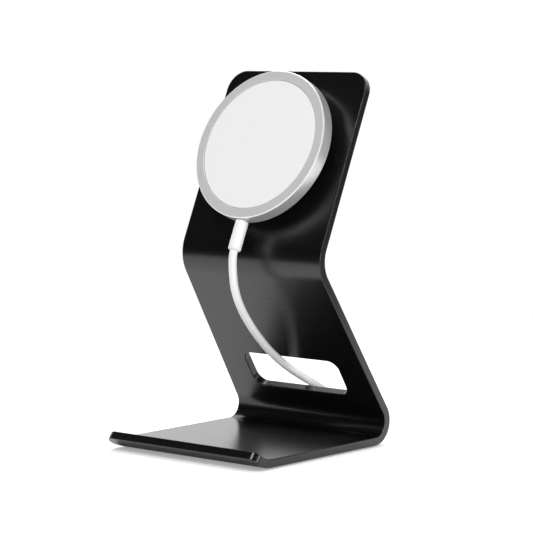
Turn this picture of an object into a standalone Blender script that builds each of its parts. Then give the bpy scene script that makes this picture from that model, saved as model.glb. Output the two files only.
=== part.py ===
"""Charging stand for a phone: one folded sheet that carries a round magnetic charging puck.

Metres, +Z up, +Y to the rear, and +X to the right of someone who faces the stand.
The origin is on the table, under the middle of the folded sheet's footprint.
"""
import math

import bmesh
import bpy
from mathutils import Matrix, Vector

MM = 0.001

# Folded sheet: a flat blank with one window, folded three times
SHEET_THICKNESS = 3.0 * MM
EDGE_BREAK = 0.3 * MM
BASE_WIDTH = 69.0 * MM
UPPER_WIDTH = 63.8 * MM
LIP_STRAIGHT = 3.0 * MM
LIP_BEND_RADIUS = 8.05 * MM
LIP_ANGLE = math.radians(36.0)
LIP_CORNER_RADIUS = 3.0 * MM
BASE_LENGTH = 57.44 * MM
REAR_BEND_RADIUS = 5.3 * MM
LOWER_LEAN = math.radians(32.6)
LOWER_LENGTH = 57.8 * MM
MIDDLE_BEND_RADIUS = 10.2 * MM
UPPER_LEAN = math.radians(23.9)
UPPER_LENGTH = 65.4 * MM
TOP_CORNER_RADIUS = 7.5 * MM
BEND_STEP = math.radians(5.2)
CORNER_STEPS = 10

# Window in the lower panel, which the cord passes through
WINDOW_WIDTH = 43.5 * MM
WINDOW_HEIGHT = 15.2 * MM
WINDOW_ABOVE_BEND = 6.5 * MM
WINDOW_CORNER_RADIUS = 4.0 * MM

# Anti-slip feet under the base
FOOT_RADIUS = 4.5 * MM
FOOT_THICKNESS = 0.4 * MM
FOOT_SIDE_INSET = 9.0 * MM
FOOT_FRONT_INSET = 9.0 * MM
FOOT_REAR_INSET = 4.5 * MM
FOOT_FIT = 0.1 * MM

# Standoff and its two adhesive pads, between the upper panel and the puck
PUCK_BELOW_TOP = 32.2 * MM
PAD_THICKNESS = 0.5 * MM
PAD_INSET = 1.0 * MM
STANDOFF_THICKNESS = 3.3 * MM
STANDOFF_INSET = 7.95 * MM
STANDOFF_CHAMFER = 0.6 * MM
PAD_FIT = 0.2 * MM

# Charging puck
PUCK_RADIUS = 27.95 * MM
RING_WALL = 1.0 * MM
RING_LIP_THICKNESS = 1.0 * MM
RING_LIP_WIDTH = 3.6 * MM
RING_FRONT_CHAMFER = 0.35 * MM
RING_REAR_CHAMFER = 0.4 * MM
RING_INNER_CHAMFER = 0.12 * MM
FACE_RECESS = 0.1 * MM
FACE_FIT = 0.15 * MM
FACE_FLANGE_WIDTH = 1.3 * MM
FACE_FLANGE_THICKNESS = 0.4 * MM
COVER_THICKNESS = 0.6 * MM
COVER_FIT = 0.15 * MM
STACK_FIT = 0.15 * MM
BOARD_THICKNESS = 0.5 * MM
BOARD_CLEAR_OF_MAGNETS = 2.15 * MM
BOARD_FLAT = math.radians(20.0)
CHIP_HEIGHT = 0.8 * MM
CHIP_CORNER_RADIUS = 0.3 * MM
CAN_LENGTH = 9.0 * MM
CAN_WIDTH = 8.0 * MM
CAN_ABOVE_CENTRE = 5.0 * MM
INDUCTOR_WIDTH = 4.2 * MM
INDUCTOR_LEFT_OF_CENTRE = 7.5 * MM
INDUCTOR_BELOW_CENTRE = 5.0 * MM
CAPACITOR_COUNT = 2
CAPACITOR_LENGTH = 3.2 * MM
CAPACITOR_WIDTH = 2.5 * MM
CAPACITOR_PITCH = 4.5 * MM
CAPACITOR_RIGHT_OF_CENTRE = 2.0 * MM
CAPACITOR_BELOW_CENTRE = 6.0 * MM
FERRITE_THICKNESS = 0.5 * MM
FERRITE_CLEAR_OF_MAGNETS = 0.65 * MM
COIL_THICKNESS = 0.6 * MM
COIL_WIDTH = 11.1 * MM
COIL_CLEAR_OF_ANTENNA = 0.3 * MM
ANTENNA_CLEAR_OF_MAGNETS = 0.95 * MM
ANTENNA_WIDTH = 0.8 * MM
ANTENNA_THICKNESS = 0.3 * MM
MAGNET_COUNT = 16
MAGNET_WIDTH = 3.8 * MM
MAGNET_WALL_GAP = 0.5 * MM
MAGNET_SPACING = 0.3 * MM
MAGNET_CLEAR_OF_CORD = math.radians(16.0)
YOKE_THICKNESS = 0.3 * MM

# Cord, its strain relief and its plug
CORD_DIAMETER = 2.9 * MM
CORD_FIT = 0.3 * MM
RELIEF_DIAMETER = 4.6 * MM
RELIEF_LENGTH = 11.0 * MM
RELIEF_NECK_DIAMETER = 2.9 * MM
RELIEF_NECK_DEPTH = 2.0 * MM
RELIEF_END_ROUNDING = 0.5 * MM
RELIEF_HOLE_FIT = 0.2 * MM
TURN_PITCH = 3.0 * MM
TURNS_IN_LAYER = 3.75
TURN_LAYERS = 2
TURN_MEAN_RADIUS = 17.5 * MM
WOUND_CORD_X = -26.0 * MM
WOUND_CORD_Y = 68.0 * MM
WOUND_CORD_LIFT = 0.6 * MM
TIE_WIDTH = 5.0 * MM
TIE_THICKNESS = 0.4 * MM
TIE_FIT = 0.2 * MM
TIE_ANGLE = math.radians(60.0)
PLUG_BODY_LENGTH = 17.0 * MM
PLUG_BODY_WIDTH = 10.4 * MM
PLUG_BODY_HEIGHT = 6.0 * MM
PLUG_BODY_ROUNDING = 2.4 * MM
PLUG_TAPER_LENGTH = 3.0 * MM
PLUG_NECK_WALL = 0.7 * MM
PLUG_NOSE_CHAMFER = 0.4 * MM
PLUG_FIT = 0.3 * MM
SHELL_LENGTH = 6.7 * MM
SHELL_WIDTH = 8.3 * MM
SHELL_HEIGHT = 2.5 * MM
SHELL_WALL = 0.3 * MM
SHELL_FLOOR = 0.6 * MM
TONGUE_LENGTH = 5.4 * MM
TONGUE_WIDTH = 6.5 * MM
TONGUE_THICKNESS = 0.7 * MM
TONGUE_FIT = 0.15 * MM

# The cord's route from the strain relief through the window to the wound cord
FRONT_ROUTE = [
    (0.0, -8.1, 70.2),
    (0.0, -8.55, 68.4),
    (0.0, -8.7, 65.8),
    (0.0, -8.5, 62.3),
    (0.0, -7.3, 56.3),
    (0.0, -4.5, 50.5),
    (0.0, 0.0, 44.4),
    (0.0, 6.0, 38.1),
    (0.0, 13.7, 31.6),
    (0.0, 22.6, 25.9),
    (0.0, 31.6, 21.2),
    (0.0, 40.3, 16.9),
    (-0.4, 45.2, 13.9),
    (-1.0, 49.7, 10.4),
    (-1.6, 53.6, 7.3),
    (-2.08, 56.95, 4.7),
]
# The last stretch, from the wound cord up to the plug that lies on it
TAIL_ROUTE = [
    (-46.7, 58.4, 8.5),
    (-42.9, 53.8, 9.2),
    (-39.3, 51.2, 9.6),
    (-35.8, 49.9, 9.85),
    (-32.5, 49.5, 9.9),
]


def clear_scene():
    for item in list(bpy.data.objects):
        bpy.data.objects.remove(item, do_unlink=True)


def finish_material(name, colour, roughness, metallic=0.0):
    material = bpy.data.materials.get(name)
    if material is None:
        material = bpy.data.materials.new(name)
        material.use_nodes = True
        shader = material.node_tree.nodes["Principled BSDF"]
        shader.inputs["Base Color"].default_value = (*colour, 1.0)
        shader.inputs["Roughness"].default_value = roughness
        shader.inputs["Metallic"].default_value = metallic
    return material


def black_anodised():
    return finish_material("black_anodised", (0.012, 0.012, 0.013), 0.42, 0.6)


def bare_aluminium():
    return finish_material("bare_aluminium", (0.62, 0.63, 0.61), 0.32, 1.0)


def white_plastic():
    return finish_material("white_plastic", (0.86, 0.86, 0.86), 0.45)


def black_plastic():
    return finish_material("black_plastic", (0.02, 0.02, 0.02), 0.55)


def grey_silicone():
    return finish_material("grey_silicone", (0.05, 0.05, 0.05), 0.85)


def adhesive_foam():
    return finish_material("adhesive_foam", (0.08, 0.08, 0.08), 0.9)


def magnet_plating():
    return finish_material("magnet_plating", (0.55, 0.55, 0.56), 0.3, 1.0)


def copper():
    return finish_material("copper", (0.72, 0.32, 0.16), 0.35, 1.0)


def ferrite():
    return finish_material("ferrite", (0.03, 0.03, 0.035), 0.7)


def board_green():
    return finish_material("board_green", (0.02, 0.12, 0.05), 0.5)


def steel():
    return finish_material("steel", (0.6, 0.6, 0.62), 0.25, 1.0)


def add_object(name, mesh, material, parent=None):
    item = bpy.data.objects.new(name, mesh)
    bpy.context.collection.objects.link(item)
    item.parent = parent
    mesh.materials.append(material)
    return item


def smooth(mesh, angle=math.radians(28.0)):
    mesh.shade_smooth()
    mesh.set_sharp_from_angle(angle=angle)


def mesh_from(name, shape):
    """A mesh from a finished bmesh, with its faces turned outwards."""
    bmesh.ops.recalc_face_normals(shape, faces=shape.faces)
    mesh = bpy.data.meshes.new(name)
    shape.to_mesh(mesh)
    shape.free()
    smooth(mesh)
    return mesh


def turned(name, outline, material, parent=None, segments=72):
    """A solid of revolution about Z. The outline lists (radius, height) once round its section."""
    shape = bmesh.new()
    rings = []
    for radius, height in outline:
        if radius < 1e-9:
            rings.append([shape.verts.new((0.0, 0.0, height))])
            continue
        ring = []
        for step in range(segments):
            angle = 2.0 * math.pi * step / segments
            ring.append(shape.verts.new((radius * math.cos(angle), radius * math.sin(angle), height)))
        rings.append(ring)
    closed = list(zip(rings, rings[1:] + rings[:1]))
    for ring, other in closed:
        if len(ring) == 1 and len(other) == 1:
            continue
        for step in range(segments):
            after = (step + 1) % segments
            if len(ring) == 1:
                shape.faces.new((ring[0], other[step], other[after]))
            elif len(other) == 1:
                shape.faces.new((ring[step], ring[after], other[0]))
            else:
                shape.faces.new((ring[step], ring[after], other[after], other[step]))
    return add_object(name, mesh_from(name, shape), material, parent)


def lofted(name, sections, material, parent=None):
    """A closed solid through sections that are loops of as many points each, capped at both ends."""
    shape = bmesh.new()
    loops = [[shape.verts.new(point) for point in section] for section in sections]
    for loop, other in zip(loops, loops[1:]):
        for step in range(len(loop)):
            after = (step + 1) % len(loop)
            shape.faces.new((loop[step], loop[after], other[after], other[step]))
    shape.faces.new(loops[0])
    shape.faces.new(loops[-1])
    return add_object(name, mesh_from(name, shape), material, parent)


def rounded_rectangle(width, height, radius, steps=6):
    """Points of a rounded rectangle about the origin, anticlockwise."""
    points = []
    for corner in range(4):
        angle = corner * math.pi / 2.0
        across = (width / 2.0 - radius) * (1 if corner in (0, 3) else -1)
        along = (height / 2.0 - radius) * (1 if corner in (0, 1) else -1)
        for step in range(steps + 1):
            turn = angle + step / steps * math.pi / 2.0
            points.append((across + radius * math.cos(turn), along + radius * math.sin(turn)))
    return points


# The folded sheet's middle surface, followed from the lip's tip to the top of the upper panel


def middle(radius):
    """Radius of the middle surface at a bend with this inner radius."""
    return radius + SHEET_THICKNESS / 2.0


def sheet_runs():
    """Length and turn of each run of the middle surface; a positive turn lifts its nose."""
    return [
        (LIP_STRAIGHT, 0.0),
        (middle(LIP_BEND_RADIUS) * LIP_ANGLE, LIP_ANGLE),
        (BASE_LENGTH, 0.0),
        (middle(REAR_BEND_RADIUS) * (math.pi / 2.0 + LOWER_LEAN), math.pi / 2.0 + LOWER_LEAN),
        (LOWER_LENGTH, 0.0),
        (middle(MIDDLE_BEND_RADIUS) * (LOWER_LEAN + UPPER_LEAN), -(LOWER_LEAN + UPPER_LEAN)),
        (UPPER_LENGTH, 0.0),
    ]


def run_starts():
    starts = [0.0]
    for length, _ in sheet_runs():
        starts.append(starts[-1] + length)
    return starts


def unplaced(distance):
    """Point (y, z) and heading of the middle surface at a distance from the lip's tip, tip at zero."""
    y = z = 0.0
    heading = -LIP_ANGLE
    for length, turn in sheet_runs():
        part = min(max(distance, 0.0), length)
        if turn == 0.0:
            y += part * math.cos(heading)
            z += part * math.sin(heading)
        else:
            radius = length / turn
            after = heading + turn * part / length
            y += radius * (math.sin(after) - math.sin(heading))
            z -= radius * (math.cos(after) - math.cos(heading))
            heading = after
        distance -= length
        if distance <= 0.0:
            break
    return y, z, heading


def half_width(distance):
    """Half the blank's width: the base's width, narrowing up the lower panel to the upper one's."""
    starts = run_starts()
    share = min(max((distance - starts[4]) / (starts[5] - starts[4]), 0.0), 1.0)
    return (BASE_WIDTH + (UPPER_WIDTH - BASE_WIDTH) * share) / 2.0


def blank_stations(inset):
    """(half width, distance) down the blank's outline, drawn in by an inset, corners rounded."""
    starts = run_starts()
    total = starts[-1]
    stations = []
    for step in range(CORNER_STEPS + 1):
        turn = step / CORNER_STEPS * math.pi / 2.0
        reach = LIP_CORNER_RADIUS - inset
        stations.append((
            half_width(0.0) - LIP_CORNER_RADIUS + reach * math.sin(turn),
            inset + reach * (1.0 - math.cos(turn)),
        ))
    edge = LIP_CORNER_RADIUS
    for (length, turn), start in zip(sheet_runs(), starts):
        count = max(1, round(abs(turn) / BEND_STEP))
        for step in range(1, count + 1):
            distance = start + length * step / count
            if edge + 0.2 * MM < distance < total - TOP_CORNER_RADIUS - 0.2 * MM:
                stations.append((half_width(distance) - inset, distance))
    for step in range(CORNER_STEPS + 1):
        turn = step / CORNER_STEPS * math.pi / 2.0
        reach = TOP_CORNER_RADIUS - inset
        stations.append((
            half_width(total) - TOP_CORNER_RADIUS + reach * math.cos(turn),
            total - TOP_CORNER_RADIUS + reach * math.sin(turn),
        ))
    return stations


def sheet_layers():
    """(inset, out of the middle surface) of the four outlines that make the sheet's broken edges."""
    half = SHEET_THICKNESS / 2.0
    return [
        (EDGE_BREAK, -half),
        (0.0, -half + EDGE_BREAK),
        (0.0, half - EDGE_BREAK),
        (EDGE_BREAK, half),
    ]


def sheet_offset():
    """Shift that stands the base on its feet and centres the sheet's footprint on the origin."""
    ys = []
    for inset, out in sheet_layers():
        for _, distance in blank_stations(inset):
            y, _, heading = unplaced(distance)
            ys.append(y - out * math.sin(heading))
    base_z = unplaced(run_starts()[2])[1]
    lift = FOOT_THICKNESS + FOOT_FIT + SHEET_THICKNESS / 2.0
    return -(min(ys) + max(ys)) / 2.0, lift - base_z


OFFSET = sheet_offset()


def sheet_point(x, distance, out):
    """A point of the folded sheet: across, along the blank, and out of its middle surface."""
    y, z, heading = unplaced(distance)
    return Vector((
        x,
        y + OFFSET[0] - out * math.sin(heading),
        z + OFFSET[1] + out * math.cos(heading),
    ))


def make_stand_plate():
    """The folded sheet, with broken edges all round, before its window is cut."""
    layers = sheet_layers()
    shape = bmesh.new()
    left, right = [], []
    for inset, out in layers:
        stations = blank_stations(inset)
        left.append([shape.verts.new(sheet_point(-w, s, out)) for w, s in stations])
        right.append([shape.verts.new(sheet_point(w, s, out)) for w, s in stations])
    count = len(left[0])
    for layer in (0, len(layers) - 1):
        for k in range(count - 1):
            shape.faces.new((left[layer][k], right[layer][k], right[layer][k + 1], left[layer][k + 1]))
    for layer in range(len(layers) - 1):
        for side in (left, right):
            for k in range(count - 1):
                shape.faces.new((
                    side[layer][k], side[layer][k + 1], side[layer + 1][k + 1], side[layer + 1][k],
                ))
        for k in (0, count - 1):
            shape.faces.new((
                left[layer][k], right[layer][k], right[layer + 1][k], left[layer + 1][k],
            ))
    return add_object("stand_plate", mesh_from("stand_plate", shape), black_anodised())


def panel_frame(distance, out):
    """Frame on a panel: X across, Y up the panel, Z out of its front."""
    _, _, heading = unplaced(distance)
    place = Matrix.Translation(sheet_point(0.0, distance, out))
    return place @ Matrix.Rotation(heading, 4, "X")


def cut_window(plate):
    """Cuts the rounded window, whose flared mouths leave broken edges on both faces."""
    starts = run_starts()
    beyond = 2.0 * MM
    half = SHEET_THICKNESS / 2.0
    sections = []
    for height, grow in (
        (-half - beyond, EDGE_BREAK + beyond),
        (-half + EDGE_BREAK, 0.0),
        (half - EDGE_BREAK, 0.0),
        (half + beyond, EDGE_BREAK + beyond),
    ):
        outline = rounded_rectangle(
            WINDOW_WIDTH + 2.0 * grow, WINDOW_HEIGHT + 2.0 * grow, WINDOW_CORNER_RADIUS + grow,
        )
        sections.append([(x, y, height) for x, y in outline])
    cutter = lofted("window_cutter", sections, black_anodised())
    cutter.matrix_world = panel_frame(starts[4] + WINDOW_ABOVE_BEND + WINDOW_HEIGHT / 2.0, 0.0)
    cutter.hide_render = True
    cutter.display_type = "WIRE"
    cut = plate.modifiers.new("window", "BOOLEAN")
    cut.operation = "DIFFERENCE"
    cut.solver = "EXACT"
    cut.object = cutter


def make_feet():
    """Four silicone discs under the corners of the base."""
    starts = run_starts()
    front = sheet_point(0.0, starts[2], 0.0).y
    rear = sheet_point(0.0, starts[3], 0.0).y
    outline = [
        (0.0, 0.0),
        (FOOT_RADIUS, 0.0),
        (FOOT_RADIUS, FOOT_THICKNESS),
        (0.0, FOOT_THICKNESS),
    ]
    across = BASE_WIDTH / 2.0 - FOOT_SIDE_INSET
    for row, y in (("front", front + FOOT_FRONT_INSET), ("rear", rear - FOOT_REAR_INSET)):
        for side, x in (("left", -across), ("right", across)):
            foot = turned(f"foot_{row}_{side}", outline, grey_silicone(), segments=32)
            foot.location = (x, y, 0.0)


def make_puck_axis():
    """Empty on the upper panel's front face, under the puck's centre, its Z along the puck's axis."""
    starts = run_starts()
    axis = bpy.data.objects.new("puck_axis", None)
    bpy.context.collection.objects.link(axis)
    axis.matrix_world = panel_frame(starts[7] - PUCK_BELOW_TOP, SHEET_THICKNESS / 2.0)
    return axis


def make_standoff(axis):
    """Moulded disc that holds the puck off the panel, with an adhesive pad on each side."""
    radius = PUCK_RADIUS - STANDOFF_INSET
    reach = radius - PAD_INSET
    pad = [(0.0, 0.0), (reach, 0.0), (reach, PAD_THICKNESS), (0.0, PAD_THICKNESS)]
    height = PAD_FIT
    turned("panel_pad", pad, adhesive_foam(), axis, segments=48).location.z = height
    height += PAD_THICKNESS + PAD_FIT
    body = [
        (0.0, 0.0),
        (radius, 0.0),
        (radius, STANDOFF_THICKNESS - STANDOFF_CHAMFER),
        (radius - STANDOFF_CHAMFER, STANDOFF_THICKNESS),
        (0.0, STANDOFF_THICKNESS),
    ]
    turned("puck_standoff", body, black_plastic(), axis, segments=64).location.z = height
    height += STANDOFF_THICKNESS + PAD_FIT
    turned("puck_pad", pad, adhesive_foam(), axis, segments=48).location.z = height
    return height + PAD_THICKNESS + PAD_FIT


def puck_levels():
    """Heights of the puck's layers above its own rear face."""
    levels = {"board": COVER_THICKNESS + STACK_FIT}
    levels["chip"] = levels["board"] + BOARD_THICKNESS + STACK_FIT
    levels["ferrite"] = levels["chip"] + CHIP_HEIGHT + STACK_FIT
    levels["coil"] = levels["ferrite"] + FERRITE_THICKNESS + STACK_FIT
    levels["flange"] = levels["coil"] + COIL_THICKNESS + STACK_FIT
    levels["lip"] = levels["flange"] + FACE_FLANGE_THICKNESS + STACK_FIT
    levels["front"] = levels["lip"] + RING_LIP_THICKNESS
    return levels


def cord_height():
    """Height of the cord's axis above the puck's rear face: the middle of the room inside."""
    levels = puck_levels()
    return (COVER_THICKNESS + levels["lip"]) / 2.0


def make_ring(rear):
    """Turned aluminium ring: side wall with a flat front lip, a hole for the cord in its wall."""
    levels = puck_levels()
    front, lip = levels["front"], levels["lip"]
    lip_radius = PUCK_RADIUS - RING_LIP_WIDTH
    outline = [
        (PUCK_RADIUS - RING_REAR_CHAMFER, 0.0),
        (PUCK_RADIUS, RING_REAR_CHAMFER),
        (PUCK_RADIUS, front - RING_FRONT_CHAMFER),
        (PUCK_RADIUS - RING_FRONT_CHAMFER, front),
        (lip_radius + RING_INNER_CHAMFER, front),
        (lip_radius, front - RING_INNER_CHAMFER),
        (lip_radius, lip),
        (PUCK_RADIUS - RING_WALL, lip),
        (PUCK_RADIUS - RING_WALL, 0.0),
    ]
    ring = turned("puck_ring", outline, bare_aluminium(), rear, segments=96)
    hole_radius = RELIEF_NECK_DIAMETER / 2.0 + RELIEF_HOLE_FIT
    disc = [(0.0, 0.0), (hole_radius, 0.0), (hole_radius, 4.0 * RING_WALL), (0.0, 4.0 * RING_WALL)]
    cutter = turned("cord_hole_cutter", disc, bare_aluminium(), rear, segments=24)
    cutter.location = (0.0, 2.0 * RING_WALL - PUCK_RADIUS, cord_height())
    cutter.rotation_euler = (math.pi / 2.0, 0.0, 0.0)
    cutter.hide_render = True
    cutter.display_type = "WIRE"
    cut = ring.modifiers.new("cord_hole", "BOOLEAN")
    cut.operation = "DIFFERENCE"
    cut.solver = "EXACT"
    cut.object = cutter


def make_face(rear):
    """White disc that shows inside the ring, held behind the lip by its thinner flange."""
    levels = puck_levels()
    shown = PUCK_RADIUS - RING_LIP_WIDTH - FACE_FIT
    flange_top = levels["flange"] + FACE_FLANGE_THICKNESS
    outline = [
        (0.0, levels["flange"]),
        (shown + FACE_FLANGE_WIDTH, levels["flange"]),
        (shown + FACE_FLANGE_WIDTH, flange_top),
        (shown, flange_top),
        (shown, levels["front"] - FACE_RECESS),
        (0.0, levels["front"] - FACE_RECESS),
    ]
    turned("puck_face", outline, white_plastic(), rear, segments=96)


def make_cover(rear):
    """Rear cover, let into the ring's wall."""
    radius = PUCK_RADIUS - RING_WALL - COVER_FIT
    outline = [(0.0, 0.0), (radius, 0.0), (radius, COVER_THICKNESS), (0.0, COVER_THICKNESS)]
    turned("puck_cover", outline, bare_aluminium(), rear, segments=72)


def arc_block(name, inner, outer, low, high, start, end, material, parent, steps):
    """A block bent round the axis: a share of a ring of rectangular section."""
    sections = []
    for step in range(steps + 1):
        angle = start + (end - start) * step / steps
        c, s = math.cos(angle), math.sin(angle)
        sections.append([
            (inner * c, inner * s, low),
            (outer * c, outer * s, low),
            (outer * c, outer * s, high),
            (inner * c, inner * s, high),
        ])
    return lofted(name, sections, material, parent)


def magnet_radii():
    """Inner and outer radius of the ring of magnets, which stands just inside the wall."""
    outer = PUCK_RADIUS - RING_WALL - MAGNET_WALL_GAP
    return outer - MAGNET_WIDTH, outer


def make_magnets(rear):
    """Ring of arc magnets on a steel yoke, open at the bottom where the cord comes in."""
    levels = puck_levels()
    inner, outer = magnet_radii()
    start = -math.pi / 2.0 + MAGNET_CLEAR_OF_CORD / 2.0
    span = 2.0 * math.pi - MAGNET_CLEAR_OF_CORD
    yoke_low = levels["board"]
    magnet_low = yoke_low + YOKE_THICKNESS + STACK_FIT
    magnet_high = levels["flange"] - STACK_FIT
    arc_block("magnet_yoke", inner, outer, yoke_low, yoke_low + YOKE_THICKNESS,
              start, start + span, steel(), rear, 64)
    spacing = MAGNET_SPACING / inner
    pitch = span / MAGNET_COUNT
    for index in range(MAGNET_COUNT):
        low = start + index * pitch + spacing / 2.0
        arc_block(f"magnet_{index + 1:02d}", inner, outer, magnet_low, magnet_high,
                  low, low + pitch - spacing, magnet_plating(), rear, 4)


def make_inner_discs(rear):
    """Charging coil, reading antenna and ferrite shield, flat under the face."""
    levels = puck_levels()
    room, _ = magnet_radii()

    def washer(inner, outer, low, thickness):
        high = low + thickness
        return [(inner, low), (outer, low), (outer, high), (inner, high)]

    antenna_outer = room - ANTENNA_CLEAR_OF_MAGNETS
    antenna_inner = antenna_outer - ANTENNA_WIDTH
    turned("reading_antenna",
           washer(antenna_inner, antenna_outer, levels["coil"], ANTENNA_THICKNESS),
           copper(), rear, segments=64)
    coil_outer = antenna_inner - COIL_CLEAR_OF_ANTENNA
    turned("charging_coil",
           washer(coil_outer - COIL_WIDTH, coil_outer, levels["coil"], COIL_THICKNESS),
           copper(), rear, segments=64)
    low, high = levels["ferrite"], levels["ferrite"] + FERRITE_THICKNESS
    radius = room - FERRITE_CLEAR_OF_MAGNETS
    turned("ferrite_shield", [(0.0, low), (radius, low), (radius, high), (0.0, high)],
           ferrite(), rear, segments=64)


def block(name, size, place, material, parent):
    """A flat block with rounded corners, standing on the given height."""
    outline = rounded_rectangle(size[0], size[1], CHIP_CORNER_RADIUS, steps=2)
    sections = [
        [(place[0] + x, place[1] + y, place[2]) for x, y in outline],
        [(place[0] + x, place[1] + y, place[2] + size[2]) for x, y in outline],
    ]
    return lofted(name, sections, material, parent)


def make_board(rear):
    """Round circuit board with a flat where the cord's wires land, and the parts soldered on it."""
    levels = puck_levels()
    low, high = levels["board"], levels["board"] + BOARD_THICKNESS
    radius = magnet_radii()[0] - BOARD_CLEAR_OF_MAGNETS
    steps = 60
    rim = []
    for step in range(steps + 1):
        angle = -math.pi / 2.0 + BOARD_FLAT + (2.0 * math.pi - 2.0 * BOARD_FLAT) * step / steps
        rim.append((radius * math.cos(angle), radius * math.sin(angle)))
    lofted("circuit_board", [[(x, y, z) for x, y in rim] for z in (low, high)], board_green(), rear)
    chip = levels["chip"]
    block("controller_can", (CAN_LENGTH, CAN_WIDTH, CHIP_HEIGHT), (0.0, CAN_ABOVE_CENTRE, chip),
          steel(), rear)
    block("power_inductor", (INDUCTOR_WIDTH, INDUCTOR_WIDTH, CHIP_HEIGHT),
          (-INDUCTOR_LEFT_OF_CENTRE, -INDUCTOR_BELOW_CENTRE, chip), ferrite(), rear)
    for index in range(CAPACITOR_COUNT):
        x = CAPACITOR_RIGHT_OF_CENTRE + index * CAPACITOR_PITCH
        block(f"tuning_capacitor_{index + 1}", (CAPACITOR_LENGTH, CAPACITOR_WIDTH, CHIP_HEIGHT),
              (x, -CAPACITOR_BELOW_CENTRE, chip), black_plastic(), rear)


def make_strain_relief(rear):
    """Moulded sleeve outside the ring's wall, with a neck through it."""
    radius, neck = RELIEF_DIAMETER / 2.0, RELIEF_NECK_DIAMETER / 2.0
    shoulder = CORD_FIT
    outline = [
        (0.0, -RELIEF_NECK_DEPTH),
        (neck, -RELIEF_NECK_DEPTH),
        (neck, shoulder),
        (radius, shoulder),
        (radius, RELIEF_LENGTH - RELIEF_END_ROUNDING),
        (radius - 0.3 * RELIEF_END_ROUNDING, RELIEF_LENGTH - 0.3 * RELIEF_END_ROUNDING),
        (radius - RELIEF_END_ROUNDING, RELIEF_LENGTH),
        (0.0, RELIEF_LENGTH),
    ]
    relief = turned("strain_relief", outline, white_plastic(), rear, segments=32)
    relief.location = (0.0, -PUCK_RADIUS, cord_height())
    relief.rotation_euler = (math.pi / 2.0, 0.0, 0.0)


def smooth_route(points, spacing):
    """Points read at an even spacing from a smooth curve through the route's own points."""
    places = [Vector(p) * MM for p in points]
    ends = [places[0] * 2.0 - places[1]] + places + [places[-1] * 2.0 - places[-2]]
    fine = []
    for k in range(1, len(ends) - 2):
        a, b, c, d = ends[k - 1:k + 3]
        for step in range(20):
            t = step / 20.0
            fine.append(0.5 * (
                2.0 * b + (c - a) * t + (2.0 * a - 5.0 * b + 4.0 * c - d) * t * t
                + (3.0 * b - a - 3.0 * c + d) * t ** 3
            ))
    fine.append(places[-1])
    along = [0.0]
    for here, there in zip(fine, fine[1:]):
        along.append(along[-1] + (there - here).length)
    count = max(2, round(along[-1] / spacing))
    route, k = [], 0
    for step in range(count + 1):
        want = along[-1] * step / count
        while k < len(fine) - 2 and along[k + 1] < want:
            k += 1
        share = (want - along[k]) / (along[k + 1] - along[k])
        route.append(fine[k].lerp(fine[k + 1], share))
    return route


def make_cord_tube(name, points):
    """A stretch of the cord that isn't wound, as a round tube along its route."""
    route = smooth_route(points, 2.2 * CORD_DIAMETER)
    curve = bpy.data.curves.new(name, "CURVE")
    curve.dimensions = "3D"
    curve.bevel_depth = CORD_DIAMETER / 2.0
    curve.bevel_resolution = 2
    curve.use_fill_caps = True
    spline = curve.splines.new("POLY")
    spline.points.add(len(route) - 1)
    for point, place in zip(spline.points, route):
        point.co = (*place, 1.0)
    item = bpy.data.objects.new(name, curve)
    bpy.context.collection.objects.link(item)
    curve.materials.append(white_plastic())


def wound_cord_radii():
    """Inner and outer radius of the wound cord's outer shape."""
    spread = TURNS_IN_LAYER * TURN_PITCH / 2.0
    return TURN_MEAN_RADIUS - spread - TURN_PITCH / 2.0, TURN_MEAN_RADIUS + spread + TURN_PITCH / 2.0


def make_wound_cord():
    """The outer shape of the wound cord, a ring of rounded section that lies behind the stand."""
    inner, outer = wound_cord_radii()
    height = TURN_LAYERS * TURN_PITCH
    corner = TURN_PITCH / 3.0
    outline = [
        (inner + corner, 0.0),
        (outer - corner, 0.0),
        (outer, corner),
        (outer, height - corner),
        (outer - corner, height),
        (inner + corner, height),
        (inner, height - corner),
        (inner, corner),
    ]
    ring = turned("cord_coil", outline, white_plastic(), segments=56)
    ring.location = (WOUND_CORD_X, WOUND_CORD_Y, WOUND_CORD_LIFT)


def make_tie():
    """Strap closed round the wound cord's section."""
    inner, outer = wound_cord_radii()
    height = TURN_LAYERS * TURN_PITCH
    half = TIE_WIDTH / 2.0
    nearest = math.sqrt(inner ** 2 - half ** 2)
    middle_radius, reach = (nearest + outer) / 2.0, (outer - nearest) / 2.0
    loops = []
    for grow, y in ((0.0, -half), (TIE_THICKNESS, -half), (TIE_THICKNESS, half), (0.0, half)):
        width, tall = 2.0 * (reach + TIE_FIT + grow), height + 2.0 * (TIE_FIT + grow)
        outline = rounded_rectangle(width, tall, 0.8 * MM + grow, steps=3)
        loops.append([(middle_radius + x, y, height / 2.0 + z) for x, z in outline])
    shape = bmesh.new()
    rings = [[shape.verts.new(point) for point in loop] for loop in loops]
    for ring, other in zip(rings, rings[1:] + rings[:1]):
        for step in range(len(ring)):
            after = (step + 1) % len(ring)
            shape.faces.new((ring[step], ring[after], other[after], other[step]))
    tie = add_object("coil_tie", mesh_from("coil_tie", shape), black_plastic())
    tie.location = (WOUND_CORD_X, WOUND_CORD_Y, WOUND_CORD_LIFT)
    tie.rotation_euler.z = TIE_ANGLE


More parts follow.
